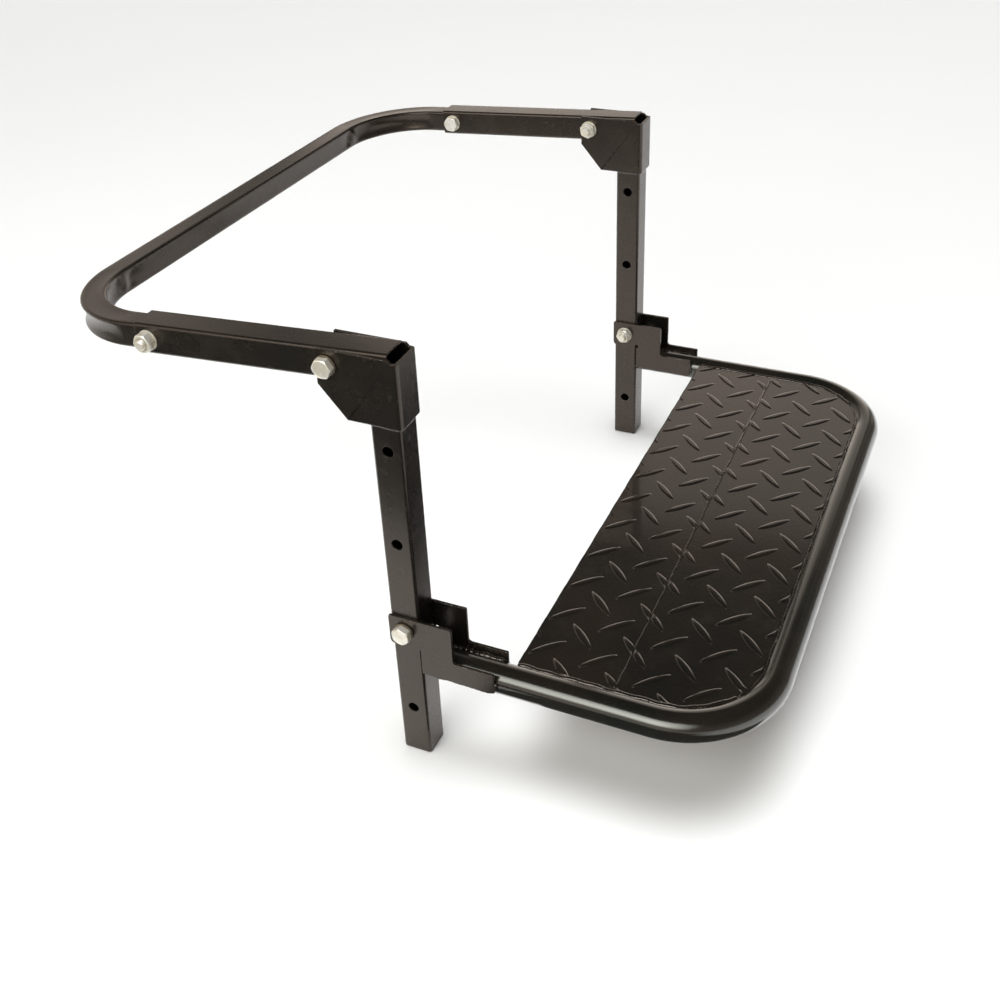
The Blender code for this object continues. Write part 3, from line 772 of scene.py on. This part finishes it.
def deckWelds(sizes, weld):
    # beads in the groove between deck and tube along both arms, a finer one along the cross bar, the
    # seam between the two panels, and short stitches from below
    top = sizes["rise"] - weld["below"]
    inset = weld["inset"]
    radius = sizes["bend"] - inset
    corner = np.array([sizes["reach"] - sizes["bend"], armY - sizes["bend"]])
    turn = np.linspace(0, np.pi / 2, 14)
    arc = corner + radius * np.stack([np.sin(turn), np.cos(turn)], -1)
    arm = np.concatenate([[[sizes["left"], armY - inset]], arc[:9]])
    cross = np.concatenate([arc[8:], (arc[8:] * [1, -1])[::-1]])
    shells = []
    for sign, seed in ((-1, 2), (1, 5)):
        path = np.column_stack([arm[:, 0], sign * arm[:, 1], np.full(len(arm), top)])
        shells.append(bead(path, weld["arm"], seed, 0.07, 0.8))
    path = np.column_stack([cross, np.full(len(cross), top - 0.6 * mm)])
    shells.append(bead(path, weld["cross"], 7, 0.06, 0.8))
    half = armY - 13 * mm
    seamX, seamZ = sizes["seam"] + sizes["gap"] / 2, sizes["rise"] + 0.1 * mm
    path = np.column_stack([np.full(20, seamX), np.linspace(-half, half, 20), np.full(20, seamZ)])
    shells.append(bead(path, weld["seam"], 9, 0.08, 0.42))
    stitchX, stitchY = sizes["reach"] - sizes["inset"] - 0.4 * mm, armY - sizes["inset"] - 0.4 * mm
    under = sizes["rise"] - sizes["thick"] - 0.6 * mm
    stitches = [((x, sign * stitchY), (x + weld["stitchLength"], sign * stitchY))
                for sign in (-1, 1) for x in weld["stitchFrom"]]
    stitches += [((stitchX, y), (stitchX, y + weld["stitchLength"]))
                 for y in np.linspace(*weld["crossStitches"])]
    for number, ends in enumerate(stitches):
        path = np.column_stack([np.linspace(*ends, 8), np.full(8, under)])
        shells.append(bead(path, weld["stitch"], 20 + number, 0.12, 0.8))
    makePiece("deck_welds", shells, "step_platform", [weldPaint], (), tubeFrame)


deckWelds(deckSizes, weldSizes)

stripBeads = {"groove": 3.0 * mm, "foot": 1.5 * mm, "end": 1.9 * mm}


def stripWelds(sizes):
    # beads that join each strip to the tube: in the groove above, along the foot, and up the strip's end
    shells = []
    for label, side in sides.items():
        for face in (-1, 1):
            seed = 10 + 3 * side + face
            y = side * armY + face * 13.0 * mm
            path = [(x, y, 9.5 * mm) for x in (24 * mm, 40 * mm, 66 * mm, 90 * mm)]
            shells.append(bead(path, sizes["groove"], seed, 0.22))
            y = side * armY + face * 16.4 * mm
            path = [(x, y, -5.2 * mm) for x in (19 * mm, 40 * mm, 66 * mm, 89 * mm)]
            shells.append(bead(path, sizes["foot"], seed + 1, 0.15))
            y = side * armY + face * 15.6 * mm
            path = [(91.4 * mm, y, z * mm) for z in (-3, 2, 7)]
            shells.append(bead(path, sizes["end"], seed + 2, 0.25))
    makePiece("strip_welds", shells, "step_platform", [weldPaint], (), tubeFrame)


stripWelds(stripBeads)
print("deck and welds made")


boltSizes = {"radius": 5 * mm, "bore": 5.3 * mm, "acrossFlats": 17 * mm, "head": 6.6 * mm,
             "nut": 8.4 * mm, "lockNut": 6 * mm, "washer": 10 * mm, "washerThick": 1.8 * mm,
             "tail": 3.5 * mm, "pitch": 1.5 * mm, "depth": 0.85 * mm, "crest": 4.95 * mm,
             "threadInside": 6 * mm, "touch": 0.3 * mm,
             "tipRings": (0.2 * mm, 3.6 * mm, 4.1 * mm), "topRings": (7.6 * mm, 7.3 * mm, 0.2 * mm)}
# the hexagon's distance from its axis at each angle, with its points blunted
theta = np.linspace(0, 2 * np.pi, 72, endpoint=False)
hexOutline = boltSizes["acrossFlats"] / 2 / np.cos((theta + np.pi / 6) % (np.pi / 3) - np.pi / 6)
hexOutline = np.minimum(hexOutline, boltSizes["acrossFlats"] / 2 * 1.135)


def turned(radii, levels):
    # ring of radius r(theta, row) about the y axis at each row's level
    levels = np.broadcast_to(np.array(levels, float)[:, None], radii.shape)
    return np.stack([radii * np.cos(theta), levels, radii * np.sin(theta)], -1)


def hexRows(high, bottomCone=False):
    # hexagon cut by a 30 degree cone at the top, and at the bottom too where asked
    levels = np.array([0, 0.25 * mm, 0.7 * mm, high - 1.5 * mm, high - 1.0 * mm, high - 0.6 * mm,
                       high - 0.3 * mm, high - 0.12 * mm, high])
    flat = boltSizes["acrossFlats"] / 2 * 0.955
    slope = math.tan(math.radians(30))
    radii = np.minimum(hexOutline[None], (flat + (high - levels) / slope)[:, None])
    if bottomCone:
        radii = np.minimum(radii, (flat + levels / slope)[:, None])
    radii[0] -= 0.15 * mm
    return radii, levels


def plainRows(*radiiOfRows):
    # one full circle for each radius
    return np.broadcast_to(np.array(radiiOfRows)[:, None], (len(radiiOfRows), theta.size))


def threadRows(low, high, sizes):
    # triangle wave of level / pitch minus the turn, which winds the crest round the shank
    levels = np.arange(low, high, sizes["pitch"] / 8)
    phase = (levels[:, None] / sizes["pitch"] - theta[None] / (2 * np.pi)) % 1
    radii = sizes["radius"] - sizes["depth"] * np.abs(2 * phase - 1)
    return radii, levels


def boltShell(grip, sizes):
    # head, seat, plain shank and thread in one turned surface, from the tip up to the head's top
    tip = -(grip + sizes["nut"] + sizes["tail"])
    threadTop = -(grip - sizes["threadInside"])
    thread, threadLevels = threadRows(tip + 0.9 * mm, threadTop, sizes)
    head, headLevels = hexRows(sizes["head"])
    shank = plainRows(sizes["radius"], sizes["radius"])
    radii = np.concatenate([plainRows(*sizes["tipRings"]), np.minimum(thread, sizes["crest"]), shank, head,
                            plainRows(*sizes["topRings"])])
    top = sizes["head"]
    dished = top - 0.25 * mm
    levels = np.concatenate([[tip, tip, tip + 0.5 * mm], threadLevels, [threadTop + 0.3 * mm, 0],
                             headLevels, [top, dished, dished]])
    return shell(turned(radii, levels), capStart=True, capEnd=True)


def nutShell(sizes, locking):
    # hexagon, then a smooth collar that holds the lock ring or a plain flat top, then back down the bore
    bore = sizes["bore"]
    height = sizes["lockNut"] if locking else sizes["nut"]
    body, levels = hexRows(height, not locking)
    if locking:
        angle = np.linspace(0, np.pi / 2, 6)
        top = plainRows(*np.concatenate([6.6 + 0.9 * np.cos(angle), [6.0, 5.4]]) * mm)
        topLevels = height + np.concatenate([1.3 + 1.1 * np.sin(angle), [2.35, 2.2]]) * mm
    else:
        top, topLevels = plainRows(7.6 * mm, 6.0 * mm), [height, height - 0.02 * mm]
    radii = np.concatenate([body, top, plainRows(bore, bore, bore + 0.5 * mm)])
    levels = np.concatenate([levels, topLevels, [height - 0.7 * mm, 0.5 * mm, 0]])
    return shell(turned(radii, levels), wrapRows=True)


def washerShell(sizes):
    # rounded rectangle in section, carried round the axis
    bore = sizes["bore"]
    section = roundedOutline([(bore, 0, 0.2 * mm), (sizes["washer"], 0, 0.35 * mm),
                              (sizes["washer"], sizes["washerThick"], 0.5 * mm),
                              (bore, sizes["washerThick"], 0.3 * mm)], 4)
    return shell(turned(plainRows(*section[:, 0]), section[:, 1]), wrapRows=True)


def fastened(name, surface, material, node, body, place, faces, level, spin):
    # spun about its own axis, faced along +y or -y, and set at that level from the bar's centre plane
    points, quads = surface
    c, s = math.cos(spin), math.sin(spin)
    points = points @ np.array([[c, 0, -s], [0, 1, 0], [s, 0, c]])
    points = points * np.array([faces, faces, 1]) + np.array([0, faces * level, 0])
    piece = makePiece(name, [(points, quads)], body, [material], [node], place)
    sharpen(piece, 38)


def boltSets(sizes):
    # a bolt, a nut and two washers at each pivot, each step bolt and each lock, left and right
    stack = sizes["washerThick"] + 2 * sizes["touch"]
    sets = {"pivot": (armFrame, 0, plateOutside, 1, "upright_frame", (28, 5), True),
            "step": (stepFrame, 0, plateOutside, 1, "upright_frame", (8, 40), True),
            "lock": (armFrame, sleeveSizes["lock"], halfStock, -1, "arm_sleeves", (22, 34), False)}
    for name, (base, x, halfGrip, outward, body, spins, locking) in sets.items():
        for label, side in sides.items():
            place = shifted(base, *(base[:, 0] * x + np.array([0, side * armY, 0])))
            headSide = side * outward
            seat = halfGrip + stack
            washerSeat = halfGrip + sizes["touch"]
            bolt, nut = boltShell(2 * seat, sizes), nutShell(sizes, locking)
            fastened(f"{name}_screw_{label}", bolt, zinc, f"{name}_bolt_{label}", body, place, headSide,
                     seat, math.radians(spins[0]))
            fastened(f"{name}_hexnut_{label}", nut, zinc, f"{name}_nut_{label}", body, place, -headSide,
                     seat, math.radians(spins[1]))
            for kind, way in (("head", headSide), ("nut", -headSide)):
                # the washers under the pivot and step bolt heads get a darker, duller zinc than the other
                # washers
                washerMaterial = dullZinc if kind == "head" and locking else washerZinc
                fastened(f"{name}_{kind}_disc_{label}", washerShell(sizes), washerMaterial,
                         f"{name}_{kind}_washer_{label}", body, place, way, washerSeat, 0)


boltSets(boltSizes)
print("bolts, nuts and washers made")


stageLook = {
    "floorZ": legLow[2] - 1 * mm, "floorSize": 14.0, "floorColour": (0.86, 0.86, 0.85),
    "bandColour": (1.0, 0.89, 0.79), "bandBright": 1.32, "bandDim": 0.48, "edgeSine": 0.585,
    "overhead": 0.03, "backdrop": 1.05,
    "windowAzimuth": 103, "gapFrom": (0.84, 0.905), "gapTo": (0.915, 0.945), "gapDepth": 0.85,
    "sideFade": (0.80, 0.93), "sideDim": 0.45, "eastFade": (0.10, 0.45), "eastDim": 0.75,
    "flags": [(-2.4, 0.7, -2.2, -0.665), (0.045, 0.12, -0.665, -0.335), (0.12, 0.46, -0.665, -0.24)],
    "flagColour": (0.95, 1.0, 0.90), "flagGlow": 0.07}


def buildFloor(look):
    # one wide square just under the feet
    half = look["floorSize"] / 2
    corners = np.array([[-half, -half], [half, -half], [half, half], [-half, half]])
    points = np.column_stack([corners, np.full(4, look["floorZ"])])
    floor = meshObject("studio_floor", points, [[0, 1, 2, 3]])
    material, tree, shader, place = newMaterial("paleFloor")
    tone = noise(tree, place, 3.0, 3)
    low = tuple(0.985 * c for c in look["floorColour"])
    plug(tree, shader.inputs["Base Color"], mixColour(tree, tone, low, look["floorColour"]))
    shader.inputs["Roughness"].default_value = 0.9
    floor.data.materials.append(material)


def buildWorld(look):
    # pale band round the horizon that fades upwards to a soft edge, with one dark gap in it; dimmer
    # towards +X and away from the window, and almost dark above
    world = bpy.data.worlds.new("studio")
    bpy.context.scene.world = world
    world.use_nodes = True
    tree = world.node_tree
    direction = makeNode(tree, "ShaderNodeTexCoord", {}, {}, "Generated")
    up = makeNode(tree, "ShaderNodeSeparateXYZ", {}, {0: direction}, 2)
    flat = makeNode(tree, "ShaderNodeVectorMath", {"operation": "MULTIPLY"}, {0: direction, 1: (1, 1, 0)})
    flat = makeNode(tree, "ShaderNodeVectorMath", {"operation": "NORMALIZE"}, {0: flat})
    centre = math.radians(look["windowAzimuth"])
    toward = makeNode(tree, "ShaderNodeVectorMath", {"operation": "DOT_PRODUCT"},
                      {0: flat, 1: (math.cos(centre), math.sin(centre), 0)}, "Value")
    fade = up.between(0.05, look["edgeSine"])
    band = (look["bandBright"] + fade * (look["bandDim"] - look["bandBright"])) * (
        1 - up.between(look["edgeSine"] - 0.01, look["edgeSine"] + 0.03))
    gap = toward.between(*look["gapFrom"]) * (1 - toward.between(*look["gapTo"])) * look["gapDepth"]
    side = 1 - (1 - toward.between(*look["sideFade"])) * look["sideDim"]
    east = makeNode(tree, "ShaderNodeSeparateXYZ", {}, {0: direction}, 0).between(*look["eastFade"])
    side = side * (1 - east * look["eastDim"])
    lit = tree.nodes["Background"]
    lit.inputs["Color"].default_value = (*look["bandColour"], 1)
    plug(tree, lit.inputs["Strength"], band * (1 - gap) * side + look["overhead"])
    backdrop = makeNode(tree, "ShaderNodeBackground", {}, {"Strength": look["backdrop"]})
    seen = makeNode(tree, "ShaderNodeLightPath", {}, {}, "Is Camera Ray")
    lit = Signal(tree, lit.outputs[0])
    mixed = makeNode(tree, "ShaderNodeMixShader", {}, {0: seen, 1: lit, 2: backdrop})
    plug(tree, tree.nodes["World Output"].inputs["Surface"], mixed)


def darkFlag(name, look):
    # dim cards, each an x and a y range, in front of the object and under its step; only its gloss sees
    # them, as studio flags darken a glossy side
    points = []
    level = look["floorZ"] + 4 * mm
    for x0, x1, y0, y1 in look["flags"]:
        points += [(x0, y0, level), (x1, y0, level), (x1, y1, level), (x0, y1, level)]
    card = meshObject(name, np.array(points), np.arange(len(points)).reshape(-1, 4).tolist())
    material, _, shader, _ = newMaterial("flagGrey")
    shader.inputs["Base Color"].default_value = (0, 0, 0, 1)
    shader.inputs["Roughness"].default_value = 1.0
    shader.inputs["Specular IOR Level"].default_value = 0.0
    shader.inputs["Emission Color"].default_value = (*look["flagColour"], 1)
    shader.inputs["Emission Strength"].default_value = look["flagGlow"]
    card.data.materials.append(material)
    card.visible_camera = False
    card.visible_shadow = False
    card.visible_diffuse = False


keyLook = {"place": (-0.15, -2.05, 1.12), "aim": (0.15, -0.05, -0.35), "size": (3.4, 1.5), "power": 13,
           "colour": (1, 1, 0.96), "spread": 70}
washLook = {"place": (0, 0, 2.6), "aim": (0, 0, -0.4), "size": (14, 14), "power": 560,
            "colour": (0.96, 0.98, 1.0), "spread": 50}


def softbox(name, look):
    # rectangular light at its place, turned towards its aim
    light = bpy.data.lights.new(name, "AREA")
    light.shape = "RECTANGLE"
    light.size, light.size_y = look["size"]
    light.energy = look["power"]
    light.color = look["colour"]
    light.spread = math.radians(look["spread"])
    lamp = newObject(name, light)
    lamp.location = look["place"]
    toAim = Vector(look["aim"]) - Vector(look["place"])
    lamp.rotation_euler = toAim.to_track_quat("-Z", "Y").to_euler()
    return lamp


cameraLook = {
    "place": (0.487386, -1.101151, 0.517055), "turn": (1.03616, 0.042557, 0.422572),
    "lens": 44.672, "sensor": 36.0, "shift": (0.00711, -0.10453)}


def buildCamera(look):
    # turn holds the Euler angles in radians
    data = bpy.data.cameras.new("viewCamera")
    data.lens = look["lens"]
    data.sensor_width = look["sensor"]
    data.shift_x, data.shift_y = look["shift"]
    data.clip_start, data.clip_end = 0.05, 60
    camera = newObject("viewCamera", data)
    camera.location = look["place"]
    camera.rotation_euler = look["turn"]
    bpy.context.scene.camera = camera


buildFloor(stageLook)
buildWorld(stageLook)
darkFlag("front_flag", stageLook)
softbox("frontKey", keyLook)
wash = softbox("floorWash", washLook)
wash.visible_glossy = False
wash.visible_camera = False
buildCamera(cameraLook)
bpy.context.scene.view_settings.view_transform = "Standard"
print("floor, light and camera made")
